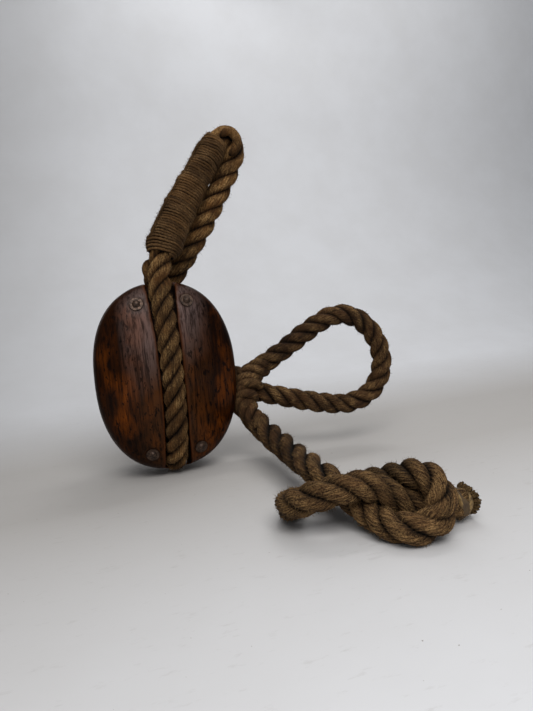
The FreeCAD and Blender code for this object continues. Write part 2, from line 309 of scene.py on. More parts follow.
def yarned_strand(centres, outward, radius, twist, rng):
    """A strand's rings, with its yarns as ridges that turn with the twist, and their tones."""
    count = len(centres)
    angles = around(YARNS * YARN_SIDES) - twist[:, None]
    ridge = np.tile(YARN_PROFILE, YARNS) * YARN_RELIEF
    lift = np.repeat(wander(rng, count, 9, YARNS), YARN_SIDES, axis=1) * 0.7 * YARN_RELIEF
    reach = radius[:, None] + ridge[None, :] + lift
    tone = np.repeat(wander(rng, count, 16, YARNS) * 0.6 + rng.uniform(-0.4, 0.4, (1, YARNS)),
                     YARN_SIDES, axis=1)
    return ring_grid(centres, outward, reach, angles), tone


def lay_rope(tubes, line, diameter, lay, seed, shape=None, reach=STRAND_REACH, radius=STRAND_RADIUS,
             start_turn=0.0):
    """Three strands laid up right-handed round a line; shape gives the rope's size and slack there."""
    rng = np.random.default_rng(seed)
    spots = even(line, STRAND_STEP)
    count = len(spots)
    _, across, over = turning_frame(spots)
    distance = travelled(spots)
    size, slack = shape(spots) if shape else (np.ones(count), np.ones(count))
    turned = start_turn + np.cumsum(np.gradient(distance) / (lay * slack)) * tau
    for strand in range(3):
        turn = turned + tau * strand / 3 + 0.10 * wander(rng, count, 22)[:, 0]
        outward = np.cos(turn)[:, None] * across + np.sin(turn)[:, None] * over
        strand_reach = reach * diameter * size * (1 + 0.03 * wander(rng, count, 14)[:, 0])
        strand_radius = radius * diameter * size * (1 + 0.045 * wander(rng, count, 11)[:, 0])
        centres = spots + outward * strand_reach[:, None]
        rings, tone = yarned_strand(centres, outward, strand_radius, YARN_TURNS * turned, rng)
        # crest: how far out from the rope's middle; the material paints low crests near black as painted
        # shade
        crest = np.linalg.norm(rings - spots[:, None], axis=-1) / (diameter / 2) / size[:, None]
        tubes.add(rings, crest=crest, tone=tone)
    return spots


# Materials

def material(name):
    """A new material with its node tree and its shader."""
    made = bpy.data.materials.new(name)
    made.use_nodes = True
    tree = made.node_tree
    return made, tree, tree.nodes["Principled BSDF"]


def node(tree, kind, inputs=None, **settings):
    """A new node; inputs are values or other nodes' outputs, by socket name or number."""
    made = tree.nodes.new(kind)
    for key, value in settings.items():
        setattr(made, key, value)
    for key, value in (inputs or {}).items():
        if isinstance(value, bpy.types.NodeSocket):
            tree.links.new(value, made.inputs[key])
        else:
            made.inputs[key].default_value = value
    return made


def blend_colours(tree, share, first, second, mode="MIX"):
    """Two colours mixed by a share; each may be a value or a socket."""
    mixed = node(tree, "ShaderNodeMix", data_type="RGBA", blend_type=mode)
    for socket, value in ((mixed.inputs[0], share), (mixed.inputs[6], first), (mixed.inputs[7], second)):
        if isinstance(value, bpy.types.NodeSocket):
            tree.links.new(value, socket)
        else:
            socket.default_value = value
    return mixed.outputs[2]


def span(tree, value, low, high, to_low=0.0, to_high=1.0):
    """A value's range turned into another, held at its ends."""
    return node(tree, "ShaderNodeMapRange",
                {"Value": value, "From Min": low, "From Max": high,
                 "To Min": to_low, "To Max": to_high}).outputs[0]


def sums(tree, operation, first, second):
    """Two numbers, sockets or values, put through one operation."""
    return node(tree, "ShaderNodeMath", {0: first, 1: second}, operation=operation).outputs[0]


def stretched_noise(tree, place, stretch, scale, detail=4.0, roughness=0.6, seed=0.0):
    """Noise whose lumps are longer along the axes that stretch makes smaller."""
    moved = node(tree, "ShaderNodeMapping",
                 {"Vector": place, "Scale": stretch, "Location": (seed, seed * 1.7, seed * 0.6)})
    return node(tree, "ShaderNodeTexNoise",
                {"Vector": moved.outputs[0], "Scale": scale, "Detail": detail,
                 "Roughness": roughness}).outputs[0]


def attribute(tree, name):
    """A number that the mesh holds at each vertex."""
    return node(tree, "ShaderNodeAttribute", attribute_name=name).outputs["Fac"]


def shade(hexa, alpha=1.0):
    """A display colour such as 8a6b45, as linear values."""
    parts = [int(hexa[i:i + 2], 16) / 255 for i in (0, 2, 4)]
    linear = [p / 12.92 if p <= 0.04045 else ((p + 0.055) / 1.055) ** 2.4 for p in parts]
    return (*linear, alpha)


def rope_material(name, dark, body, dusty, dust_low, dust_high):
    """Old hemp: brown yarns, pale dust on the crests, painted shade near black between the strands and in
    the knot.
    """
    made, tree, shader = material(name)
    place = node(tree, "ShaderNodeTexCoord").outputs["Object"]
    crest, tone = attribute(tree, "crest"), attribute(tree, "tone")
    along, girth = attribute(tree, "along"), attribute(tree, "girth")
    fibre_place = node(tree, "ShaderNodeCombineXYZ", {0: along, 1: girth, 2: tone}).outputs[0]
    fibres = stretched_noise(tree, fibre_place, (190, 70, 2), 1.0, 3.0, 0.65)
    hairs = stretched_noise(tree, place, (1, 1, 1), 900.0, 3.0, 0.7, 6.0)
    patches = stretched_noise(tree, place, (1, 1, 1), 55.0, 5.0, 0.6, 3.0)
    grime = stretched_noise(tree, place, (1, 1, 1), 14.0, 3.0, 0.5, 8.0)
    plain = blend_colours(tree, span(tree, tone, -0.8, 0.8), shade(body[0]), shade(body[1]))
    hairy = sums(tree, "ADD", sums(tree, "MULTIPLY", fibres, 0.6), sums(tree, "MULTIPLY", hairs, 0.4))
    yarn = blend_colours(tree, span(tree, hairy, 0.41, 0.56, 0.66, 0.0), plain, shade(dark))
    grey = blend_colours(tree, span(tree, hairy, 0.47, 0.60, 0.0, 0.95), yarn, shade(dusty))
    dust_share = sums(tree, "MULTIPLY", span(tree, patches, dust_low, dust_high),
                      span(tree, crest, 0.78, 1.0))
    dusted = blend_colours(tree, dust_share, yarn, grey)
    soiled = blend_colours(tree, span(tree, grime, 0.42, 0.68, 0.0, 0.55), dusted, shade(dark))
    # painted shade: low crests, between the strands and the yarns, go to the dark colour
    deep = span(tree, crest, 0.66, 0.97)
    colour = blend_colours(tree, deep, shade(dark), soiled)
    # the fall's crests go paler the further it lies out in front of the block
    out = node(tree, "ShaderNodeSeparateXYZ", {0: place}).outputs[1]
    paler_out_front = sums(tree, "MULTIPLY", span(tree, out, -0.12, -0.24, 0.0, 0.55),
                 sums(tree, "MULTIPLY", deep, span(tree, hairy, 0.46, 0.62)))
    colour = blend_colours(tree, paler_out_front, colour, shade(dusty))
    # painted shade: the fall goes towards the dark colour within about 5 cm of the knot's middle
    inside = node(tree, "ShaderNodeVectorMath", {0: place, 1: KNOT_MIDDLE},
                  operation="DISTANCE").outputs["Value"]
    colour = blend_colours(tree, span(tree, inside, 0.022, 0.052, 0.62, 0.0), colour, shade(dark))
    tree.links.new(colour, shader.inputs["Base Color"])
    tree.links.new(span(tree, fibres, 0.2, 0.8, 0.75, 1.0), shader.inputs["Roughness"])
    shader.inputs["Specular IOR Level"].default_value = 0.15
    rough = sums(tree, "ADD", hairy, sums(tree, "MULTIPLY", patches, 0.5))
    bump = node(tree, "ShaderNodeBump", {"Height": rough, "Strength": 0.9, "Distance": 0.0010})
    tree.links.new(bump.outputs[0], shader.inputs["Normal"])
    return made


def wood_material(name):
    """Old varnished elm: red-brown to black, worn to orange, with grain along the shell; a painted sheen up
    by the score, painted shade at the rim and in the hollows.
    """
    made, tree, shader = material(name)
    place = node(tree, "ShaderNodeTexCoord").outputs["Object"]
    grain = stretched_noise(tree, place, (420, 300, 22), 1.0, 5.0, 0.7)
    streaks = stretched_noise(tree, place, (70, 60, 9), 1.0, 4.0, 0.65, 5.0)
    zones = stretched_noise(tree, place, (1, 1, 0.6), 26.0, 3.0, 0.55, 2.0)
    specks = stretched_noise(tree, place, (300, 260, 120), 1.0, 3.0, 0.65, 9.0)
    base = blend_colours(tree, span(tree, streaks, 0.36, 0.62), shade("080302"), shade("341805"))
    worn = blend_colours(tree, span(tree, zones, 0.50, 0.70, 0.0, 0.8), base, shade("723909"))
    haze, painted_sheen = attribute(tree, "haze"), attribute(tree, "painted_sheen")
    milky = blend_colours(tree, span(tree, haze, 0.0, 1.0, 0.0, 0.5), worn, shade("452c18"))
    # painted sheen: a purple-grey painted reflection in the upper middle by the score
    haze_and_painted_sheen = blend_colours(tree, sums(tree, "MULTIPLY", painted_sheen, span(tree, zones, 0.35, 0.6, 0.80, 0.50)),
                         milky, shade("7b6966"))
    lined = blend_colours(tree, span(tree, grain, 0.45, 0.62, 0.0, 0.80), haze_and_painted_sheen, shade("0f0603"))
    # fewer specks where the painted sheen lies
    clear = span(tree, painted_sheen, 0.1, 0.8, 0.9, 0.25)
    fleck = sums(tree, "MULTIPLY", span(tree, specks, 0.57, 0.63), clear)
    flecks_and_rim_shade = blend_colours(tree, fleck, lined, shade("080302"))
    # painted shade: faces turned away sideways at the rim go near black
    flecks_and_rim_shade = blend_colours(tree, span(tree, attribute(tree, "rim"), 0.0, 1.0, 0.0, 0.85), flecks_and_rim_shade,
                            shade("0b0402"))
    edge = span(tree, attribute(tree, "edge"), 0.15, 0.6, 0.0, 0.7)
    rubbed = blend_colours(tree, edge, flecks_and_rim_shade, shade("4a2812"))
    # painted shade in the hollows and grime round the roves, towards near black
    hollow_shade_and_grime = blend_colours(tree, attribute(tree, "hollow_shade_and_grime"), rubbed, shade("0a0504"))
    tree.links.new(hollow_shade_and_grime, shader.inputs["Base Color"])
    gloss = sums(tree, "ADD", span(tree, zones, 0.35, 0.7, 0.24, 0.42),
                 span(tree, specks, 0.45, 0.7, 0.0, 0.18))
    tree.links.new(gloss, shader.inputs["Roughness"])
    shader.inputs["Specular IOR Level"].default_value = 0.03
    shader.inputs["Coat Weight"].default_value = 0.17
    shader.inputs["Coat Roughness"].default_value = 0.20
    shader.inputs["Coat IOR"].default_value = 1.32
    shader.inputs["Coat Tint"].default_value = (1.0, 0.97, 0.95, 1)
    relief = sums(tree, "ADD", sums(tree, "MULTIPLY", grain, 0.5), streaks)
    bump = node(tree, "ShaderNodeBump", {"Height": relief, "Strength": 0.5, "Distance": 0.0004})
    tree.links.new(bump.outputs[0], shader.inputs["Normal"])
    return made


def metal_material(name, clean, worn, tarnish, metallic, low, high, scale=350.0):
    """Worn metal, with tarnish that lies in patches."""
    made, tree, shader = material(name)
    place = node(tree, "ShaderNodeTexCoord").outputs["Object"]
    patches = stretched_noise(tree, place, (1, 1, 1), scale, 4.0, 0.6)
    fine = stretched_noise(tree, place, (1, 1, 1), scale * 6, 2.0, 0.6, 4.0)
    metal = blend_colours(tree, span(tree, fine, 0.35, 0.65), shade(clean), shade(worn))
    colour = blend_colours(tree, span(tree, patches, 0.40, 0.62), metal, shade(tarnish))
    tree.links.new(colour, shader.inputs["Base Color"])
    shader.inputs["Metallic"].default_value = metallic
    tree.links.new(span(tree, patches, 0.3, 0.7, low, high), shader.inputs["Roughness"])
    bump = node(tree, "ShaderNodeBump", {"Height": fine, "Strength": 0.2, "Distance": 0.0001})
    tree.links.new(bump.outputs[0], shader.inputs["Normal"])
    return made


def sheave_wood_material():
    """Oiled lignum vitae, with its rings turned about the sheave's axis of the log."""
    made, tree, shader = material("sheave_wood")
    place = node(tree, "ShaderNodeTexCoord").outputs["Object"]
    rings = stretched_noise(tree, place, (90, 14, 260), 1.0, 4.0, 0.6)
    pores = stretched_noise(tree, place, (900, 120, 900), 1.0, 2.0, 0.5, 3.0)
    colour = blend_colours(tree, span(tree, rings, 0.38, 0.64), shade("2a1a0e"), shade("5b4324"))
    colour = blend_colours(tree, span(tree, pores, 0.56, 0.7, 0.0, 0.7), colour, shade("1a1008"))
    tree.links.new(colour, shader.inputs["Base Color"])
    tree.links.new(span(tree, rings, 0.3, 0.7, 0.34, 0.52), shader.inputs["Roughness"])
    bump = node(tree, "ShaderNodeBump", {"Height": pores, "Strength": 0.3, "Distance": 0.0002})
    tree.links.new(bump.outputs[0], shader.inputs["Normal"])
    return made


def stage_material():
    """Pale matt paper, with painted light and shade: whiter in front and up the wall, duller between, greyer
    far left and far in front.
    """
    made, tree, shader = material("paper")
    place = node(tree, "ShaderNodeTexCoord").outputs["Object"]
    parts = node(tree, "ShaderNodeSeparateXYZ", {0: place}).outputs
    mottle = stretched_noise(tree, place, (1, 1, 1), 7.0, 4.0, 0.6)
    scuffs = stretched_noise(tree, place, (1, 3, 1), 60.0, 4.0, 0.7, 2.0)
    specks = stretched_noise(tree, place, (1, 1, 1), 260.0, 2.0, 0.5, 4.0)
    # painted light and shade: pale in front and up the wall, dull between
    front = span(tree, parts[1], -0.08, -0.47)
    wall = span(tree, parts[1], 0.10, 0.46)
    pale = sums(tree, "MAXIMUM", front, wall)
    colour = blend_colours(tree, pale, shade("b9b6b3"), shade("e2e3e6"))
    colour = blend_colours(tree, span(tree, mottle, 0.35, 0.65, 0.0, 0.12), colour, shade("b9b6b2"))
    on_floor = span(tree, parts[2], -0.08, -0.10)
    marks = sums(tree, "MULTIPLY", span(tree, scuffs, 0.60, 0.74, 0.0, 0.16), on_floor)
    colour = blend_colours(tree, marks, colour, shade("8d867e"))
    crumbs = sums(tree, "MULTIPLY", span(tree, specks, 0.775, 0.80, 0.0, 0.55), on_floor)
    colour = blend_colours(tree, crumbs, colour, shade("5f4a3c"))
    # painted shade: greyer to the far left and far in front
    left = span(tree, parts[0], 0.0, -1.15)
    behind = span(tree, parts[1], -0.62, -1.1)
    beyond = sums(tree, "MAXIMUM", left, behind)
    colour = blend_colours(tree, beyond, colour, shade("8a8885"))
    tree.links.new(colour, shader.inputs["Base Color"])
    shader.inputs["Roughness"].default_value = 0.9
    shader.inputs["Specular IOR Level"].default_value = 0.1
    return made


# The stage

def make_camera():
    data = bpy.data.cameras.new("camera")
    data.lens = LENS_MM
    camera = bpy.data.objects.new("camera", data)
    bpy.context.scene.collection.objects.link(camera)
    back = Vector((-sin(VIEW_AZIMUTH) * cos(VIEW_ELEVATION), -cos(VIEW_AZIMUTH) * cos(VIEW_ELEVATION),
                   sin(VIEW_ELEVATION)))
    camera.location = back * VIEW_DISTANCE
    camera.rotation_mode = "QUATERNION"
    facing = (VIEW_AIM - camera.location).to_track_quat("-Z", "Y")
    camera.rotation_quaternion = facing @ Quaternion((0, 0, 1), -VIEW_ROLL)
    data.clip_start = 0.01
    bpy.context.scene.camera = camera


def make_stage():
    """A floor that sweeps up into a wall behind the block."""
    profile = [(-3.0, 0.0), (-1.0, 0.0), (SWEEP_START, 0.0)]
    for step in range(1, 25):
        angle = step / 24 * pi / 2
        profile.append((SWEEP_START + SWEEP_RADIUS * sin(angle), SWEEP_RADIUS * (1 - cos(angle))))
    profile.append((SWEEP_START + SWEEP_RADIUS, 3.0))
    points = [(x, y, FLOOR_Z + z) for y, z in profile for x in (-4.0, 4.0)]
    faces = [(2 * i, 2 * i + 1, 2 * i + 3, 2 * i + 2) for i in range(len(profile) - 1)]
    mesh = bpy.data.meshes.new("floor")
    mesh.from_pydata(points, [], faces)
    mesh.shade_smooth()
    new_object("floor", mesh, stage_material())


def area_light(name, place, aim, size, power, colour=(1, 1, 1)):
    data = bpy.data.lights.new(name, "AREA")
    data.shape = "RECTANGLE"
    data.size, data.size_y = size
    data.energy = power
    data.color = colour
    lamp = bpy.data.objects.new(name, data)
    bpy.context.scene.collection.objects.link(lamp)
    lamp.location = place
    lamp.rotation_mode = "QUATERNION"
    lamp.rotation_quaternion = (Vector(aim) - Vector(place)).to_track_quat("-Z", "Y")


def make_lights():
    world = bpy.data.worlds.new("studio")
    bpy.context.scene.world = world
    world.use_nodes = True
    glow = world.node_tree.nodes["Background"]
    glow.inputs["Color"].default_value = (0.93, 0.96, 1.0, 1)
    glow.inputs["Strength"].default_value = 0.19
    area_light("overhead", (0.14, -0.35, 1.30), (0.1, -0.1, 0.0), (1.2, 0.9), 3.0)
    area_light("front", (-0.05, -0.98, 0.85), (0.05, 0, 0.0), (0.95, 0.6), 10.5, (1.0, 0.985, 0.97))
    area_light("back", (0.42, 0.72, 1.30), (0.05, 0.0, 0.0), (1.0, 0.7), 2.3)
    area_light("wall", (0.80, 0.30, 1.50), (0.80, 1.1, 0.35), (1.0, 0.3), 6.2)


# The ropes

rope = rope_material("rope", "0c0703", ("352313", "5c3f26"), "9c7b50", 0.40, 0.62)
strop_rope = rope_material("strop_rope", "0e0803", ("4a3017", "7b542d"), "c39c66", 0.38, 0.60)
marline = rope_material("marline", "150c05", ("4d3720", "755431"), "a9845a", 0.40, 0.66)
ends = rope_material("rope_ends", "1a1008", ("4d3820", "735636"), "a98a5c", 0.35, 0.60)


def near(value, centre, width):
    """1 at the centre, falling smoothly to 0 a width away."""
    part = np.clip(1 - np.abs(value - centre) / width, 0, 1)
    return part * part * (3 - 2 * part)


def fall_shape(spots):
    """The tail is fuller and its lay ever longer from the throat, where the eye is tucked in."""
    out = -spots[:, 1]
    tail = (spots[:, 2] < -0.040) & (out > 0.004) & (out < 0.225) & (spots[:, 0] < 0.112)
    size = np.interp(out, (0.004, 0.012, 0.030, 0.120, 0.225), (0.80, 0.85, 1.14, 1.12, 1.0))
    slack = np.interp(out, (0.004, 0.030, 0.090, 0.160, 0.205, 0.225), (1.0, 1.35, 1.7, 2.3, 2.1, 1.2))
    return np.where(tail, size, 1.0), np.where(tail, slack, 1.0)


def strop_shape(spots):
    """The strop is squeezed in its score, fuller in the eye's bare leg and slack round the tip."""
    front = np.clip((-spots[:, 1] - 0.020) / 0.020, 0, 1)
    bare = (spots[:, 1] > -0.003) & (spots[:, 2] > 0.085)
    leg = np.where(bare, np.interp(spots[:, 2], (0.09, 0.12, 0.22, 0.25), (0, 1, 1, 0)), 0)
    tip = near(spots[:, 2], 0.264, 0.026)
    return 1 - 0.07 * front + 0.10 * leg - 0.02 * tip, 1 - 0.05 * front + 0.08 * leg + 2.6 * tip


def add_piece(tubes, name, look, slot, *nodes):
    """A finished mesh of tubes that rides on the shell and stands for its CAD nodes."""
    piece = tubes.build(name, look)
    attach(piece, "shell")
    if nodes:
        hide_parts(*nodes)
    return piece


def make_rope(name, points, diameter, lay, seed, shape, look, *nodes):
    """A laid rope along a route, and the line that it follows."""
    tubes = Tubes()
    spots = lay_rope(tubes, smooth_line(points), diameter, lay, seed, shape)
    return add_piece(tubes, name, look, "rope", *nodes), spots


# What is on the strop

SERVING_ABOVE = 0.082         # along the strop, above and below where its two ends meet
SERVING_BELOW = 0.064
SERVING_SIZES = [(0.0, 0.0285), (0.035, 0.0350), (0.10, 0.0378), (0.35, 0.0372), (0.52, 0.0355),
                 (0.63, 0.0318), (0.73, 0.0318), (0.84, 0.0335), (0.95, 0.0318), (1.0, 0.0275)]
SERVING_TURN = 0.0030         # from one turn to the next
SERVING_SIDES = 54            # rings to one turn
MARLINE_SIDES = 8
SERVING_STEP = 0.0008         # between the points of the served leg's line
PARCELLING_DEPTH = 0.0028     # below the serving's outside
PARCELLING_RINGS, PARCELLING_SIDES = 60, 32
LEAD_START, LEAD_END = 0.10, 0.88
LEAD_THICKNESS = 0.0024
LEAD_ANGLE = radians(62)      # round the served leg, from its front
LEAD_POINTS = 260
LEAD_STEP = 0.0009


def serving_line(strop_line):
    """The served leg's middle line, from the crown of the shell up to the eye's tip."""
    length = travelled(strop_line)[-1]
    above = part_of(strop_line, length - SERVING_ABOVE, length)[::-1]
    below = part_of(strop_line, 0, SERVING_BELOW)[::-1]
    return even(np.concatenate([below, above[1:]]), SERVING_STEP)


def marline_rings(centres, outward, rng, thickness=MARLINE_DIAMETER):
    """Two yarns twisted together, as one tube with two lobes that turn."""
    count = len(centres)
    distance = travelled(centres)
    angles = around(MARLINE_SIDES)
    turn = tau * distance / (thickness * 3.2)
    lobes = 1 + 0.16 * np.cos(2 * (angles - turn[:, None]))
    swell = 1 + 0.10 * wander(rng, count, 25)
    return ring_grid(centres, outward, thickness / 2 * lobes * swell, angles)


def make_serving(strop_line):
    """Marline wound tightly up the served leg over its parcelling, with one end led up beside it."""
    rng = np.random.default_rng(21)
    line = serving_line(strop_line)
    last = len(line) - 1
    along, across, over = turning_frame(line)
    turns = travelled(line)[-1] / SERVING_TURN
    count = int(turns * SERVING_SIDES)
    share = np.linspace(0, 1, count)
    places, sizes = zip(*SERVING_SIZES)

    def radius(share):
        return np.interp(share, places, sizes) / 2

    line_here, along_here, across_here, over_here = (
        pick(rows, share * last) for rows in (line, along, across, over))
    angle = tau * turns * share + 0.05 * wander(rng, count, 40)[:, 0]
    outward = unit(np.cos(angle)[:, None] * across_here + np.sin(angle)[:, None] * over_here)
    spread = line_here + outward * 0.012
    lumps = 0.0013 * cloud(spread, 0.014, 3) + 0.0006 * cloud(spread, 0.005, 4)
    lumps += 0.0006 * wander(rng, count, SERVING_SIDES * 0.6)[:, 0]
    bulge = 0.0010 * near(share, 0.08, 0.07)
    reach = radius(share) - MARLINE_DIAMETER / 2 + lumps + bulge
    sway = along_here * (0.0013 * cloud(spread, 0.010, 5))[:, None]
    rings = marline_rings(line_here + outward * reach[:, None] + sway, outward, rng)
    tone = wander(rng, count, 40) * 0.9
    crest = np.linalg.norm(rings - line_here[:, None], axis=-1) / reach[:, None]
    tubes = Tubes()
    # the crest is stretched so that the material paints the gaps between the turns near black: painted shade
    tubes.add(rings, crest=0.80 + (crest - 1) * 2.2, tone=tone)

    parcel = np.linspace(0.01, 0.99, PARCELLING_RINGS)
    guide = np.tile([0.0, -1.0, 0.0], (PARCELLING_RINGS, 1))
    under = (radius(parcel) - PARCELLING_DEPTH)[:, None]
    # the parcelling's crest of 0.5 paints it all in the dark colour: painted shade under the turns
    tubes.add(ring_grid(pick(line, parcel * last), guide, under, around(PARCELLING_SIDES)),
              crest=0.5, tone=0.0)

    lead = np.linspace(LEAD_START, LEAD_END, LEAD_POINTS)
    spots = pick(line, lead * last)
    ahead = unit(np.gradient(spots, axis=0))
    front = np.array([0.0, -1.0, 0.0])
    toward = unit(front - ahead * (ahead @ front)[:, None])
    slant = LEAD_ANGLE + 0.05 * wander(rng, LEAD_POINTS, 30)[:, 0]
    outward = np.cos(slant)[:, None] * toward + np.sin(slant)[:, None] * np.cross(toward, ahead)
    spots = even(spots + outward * (radius(lead) + 0.0006)[:, None], LEAD_STEP)
    rings = marline_rings(spots, np.repeat(outward[:1], len(spots), axis=0), rng, LEAD_THICKNESS)
    tubes.add(rings, crest=0.86, tone=0.3)
    return add_piece(tubes, "strop_serving_marline", marline, "marline", "strop_serving")


STRAND_END_STEP = 0.0012
STRAND_END_PITCH = 0.030      # one turn of its yarns


def short_strand(tubes, points, radius, seed, taper=0.35, lift=(0.0, -1.0, 0.0), depth=0.0):
    """A short piece of one strand with rounded ends, along a few given points."""
    rng = np.random.default_rng(seed)
    line = even(smooth_line(points), STRAND_END_STEP)
    count = len(line)
    share = np.linspace(0, 1, count)
    round_off = np.clip(np.minimum(share, 1 - share) / taper, 0, 1)
    size = radius * np.sqrt(1 - (1 - round_off) ** 2) * (1 + 0.05 * wander(rng, count, 6)[:, 0])
    outward = np.tile(np.asarray(lift, float), (count, 1))
    twist = tau * travelled(line) / STRAND_END_PITCH
    rings, tone = yarned_strand(line, outward, np.maximum(size, radius * 0.12), twist, rng)
    # depth lowers the crest values, so the material paints the strand darker: painted shade
    tubes.add(rings, crest=0.80 - depth + 0.2 * round_off[:, None], tone=tone)


EYE_STRAND_POINTS = [(0.0860, -0.0100, 0.2570), (0.0925, -0.0110, 0.2625), (0.1010, -0.0110, 0.2610),
                     (0.1055, -0.0100, 0.2530), (0.1040, -0.0090, 0.2430), (0.0960, -0.0080, 0.2370)]
STRAND_END_POINTS = [(-0.0030, -0.0100, 0.1265), (-0.0090, -0.0120, 0.1225), (-0.0110, -0.0130, 0.1155),
                     (-0.0084, -0.0120, 0.1090), (-0.0106, -0.0120, 0.1025), (-0.0080, -0.0110, 0.0965)]


def make_strand_end():
    """Two strands of the splice: one stands out just above the crown, one lines the eye's tip."""
    tubes = Tubes()
    # both strands are drawn darker by their depth, as painted shade
    short_strand(tubes, STRAND_END_POINTS, 0.0034, 31, taper=0.3, lift=(-1.0, 0.0, 0.0), depth=0.14)
    short_strand(tubes, EYE_STRAND_POINTS, 0.0042, 32, taper=0.25, depth=0.08)
    return add_piece(tubes, "strop_strand_knuckle", strop_rope, "rope", "strop_strand_end")


# What is on the fall

THROAT_BEND = [
    (0.114, -0.010, -0.002), (0.101, -0.012, -0.009), (0.089, -0.014, -0.018), (0.0835, -0.016, -0.032),
    (0.0840, -0.021, -0.046), (0.0885, -0.032, -0.058), (0.0930, -0.047, -0.067),
]
TUCKS = [
    [(0.078, -0.012, -0.024), (0.083, -0.024, -0.0195), (0.094, -0.027, -0.0185), (0.104, -0.021, -0.0235),
     (0.106, -0.010, -0.0300)],
    [(0.074, -0.014, -0.037), (0.079, -0.027, -0.0305), (0.088, -0.031, -0.0295), (0.096, -0.024, -0.0350),
     (0.097, -0.012, -0.0430)],
]
TUCK_RADIUS = 0.0050
LOOSE_RADIUS = 0.0052
LOOSE_STRANDS = [
    [(0.112, -0.236, -0.088), (0.126, -0.246, -0.086), (0.139, -0.253, -0.088), (0.150, -0.262, -0.096)],
    [(0.116, -0.244, -0.094), (0.130, -0.256, -0.098), (0.142, -0.264, -0.101)],
    [(0.124, -0.232, -0.084), (0.138, -0.243, -0.084), (0.149, -0.252, -0.086), (0.159, -0.259, -0.090)],
    [(0.132, -0.228, -0.092), (0.147, -0.243, -0.091), (0.158, -0.255, -0.093)],
]
SPLICE_SIZE = 0.0262
SPLICE_LAY = 0.034


def throat_shape(spots):
    """The bend round the throat sinks into the tail."""
    out = -spots[:, 1]
    size = np.interp(out, (0.010, 0.024, 0.044), (1.0, 1.0, 0.72))
    return size, np.interp(out, (0.02, 0.045), (1.0, 1.4))


def make_splice():
    """The eye's throat: its strands laid round the bend and tucked under each other."""
    tubes = Tubes()
    lay_rope(tubes, smooth_line(THROAT_BEND), SPLICE_SIZE, SPLICE_LAY, 41, throat_shape, 0.285, 0.212, 0.6)
    for index, points in enumerate(TUCKS):
        short_strand(tubes, points, TUCK_RADIUS, 50 + index, taper=0.22)
    return add_piece(tubes, "fall_eye_splice", rope, "rope", "fall_splice")


def make_loose_strands():
    """Yarns drawn out of the fall inside its knot, drawn darker with painted shade."""
    tubes = Tubes()
    for index, points in enumerate(LOOSE_STRANDS):
        short_strand(tubes, points, LOOSE_RADIUS, 60 + index, taper=0.3, depth=0.12)
    return add_piece(tubes, "fall_loose_yarns", rope, "rope")


TAPE_LENGTH = 0.0135
TAPE_START, TAPE_END = 0.0118, 0.0080     # its radius at each end
TAPE_RINGS, TAPE_SIDES = 26, 72
TAPE_THICKNESS = 0.0006       # the step at a lap, and the depth of a crease
FRAY_LENGTH = 0.0060
FRAY_RADIUS = 0.0124
TUFTS = 280
TUFT_SIDES = 6
TUFT_SPREAD = 0.0062          # the outermost tufts' distance from the rope's middle, at the tape
GOLDEN_ANGLE = 2.39996


def fall_end(spots):
    """The fall's end, its direction and two directions across it."""
    along, across, over = turning_frame(spots)
    return spots[-1], along[-1], across[-1], over[-1]


def make_tape(spots):
    """Buff tape wound round the fall's end, drawn in towards the broom, its outer turn lapped."""
    rng = np.random.default_rng(61)
    tip, along, across, _ = fall_end(spots)
    share = np.linspace(0, 1, TAPE_RINGS)
    angles = around(TAPE_SIDES)
    slope = TAPE_START + (TAPE_END - TAPE_START) * share ** 2
    lips = 0.0014 * np.clip(1 - share / 0.06, 0, 1)
    lapped = ((angles / tau + share[:, None] * 1.1) % 1) < 0.45
    wrinkles = 0.0003 * wander(rng, TAPE_RINGS * TAPE_SIDES, 3).reshape(TAPE_RINGS, TAPE_SIDES)
    creases = np.cos(3 * angles + 6 * share[:, None] + 1.0)
    reach = (slope - lips)[:, None] + TAPE_THICKNESS * (lapped + creases) + wrinkles
    centres = tip + along * ((share - 0.74) * TAPE_LENGTH)[:, None]
    tubes = Tubes()
    tubes.add(ring_grid(centres, np.tile(across, (TAPE_RINGS, 1)), reach, angles),
              crest=0.8 + lapped * 0.2, tone=creases)
    return add_piece(tubes, "fall_tape", tape_material(), "tape", "fall_whipping")


def make_frayed_end(spots):
    """The fall's yarns beyond the tape, opened out and beaten back into a broom."""
    rng = np.random.default_rng(71)
    tip, along, across, over = fall_end(spots)
    tubes = Tubes()
    for tuft in range(TUFTS):
        place = np.sqrt((tuft + 0.5) / TUFTS)
        angle = tuft * GOLDEN_ANGLE + rng.uniform(-0.2, 0.2)
        outward = cos(angle) * across + sin(angle) * over
        wave = 1 + 0.07 * sin(3 * angle + 1) + rng.uniform(-0.07, 0.04)
        reach = FRAY_LENGTH * wave * (1 - 0.30 * place ** 3)
        start = tip + outward * place * TUFT_SPREAD
        flare = outward * (FRAY_RADIUS * wave - TUFT_SPREAD) * place ** 1.5
        points = [start, start + along * 0.003 + flare * 0.35,
                  start + along * (0.002 + reach * 0.35) + flare * 0.9,
                  start + along * (0.002 + reach) + flare]
        line = even(smooth_line([tuple(point) for point in points]), 0.0011)
        count = len(line)
        profile = np.tile([1.0, 0.8], TUFT_SIDES // 2)
        size = rng.uniform(0.0007, 0.0011) * (1 + 0.2 * wander(rng, count, 3))
        angles = around(TUFT_SIDES) + np.linspace(0, 2.5, count)[:, None]
        rings = ring_grid(line, np.tile(across, (count, 1)) + 0.01, size * profile, angles)
        # crest rises from root to tip, so the material paints the roots darker where the tufts crowd:
        # painted shade
        crest = 0.78 + 0.24 * np.linspace(0, 1, count)[:, None]
        tubes.add(rings, crest=crest, tone=rng.uniform(-1, 1))
    return add_piece(tubes, "fall_frayed_yarns", ends, "rope", "fall_frayed_end")


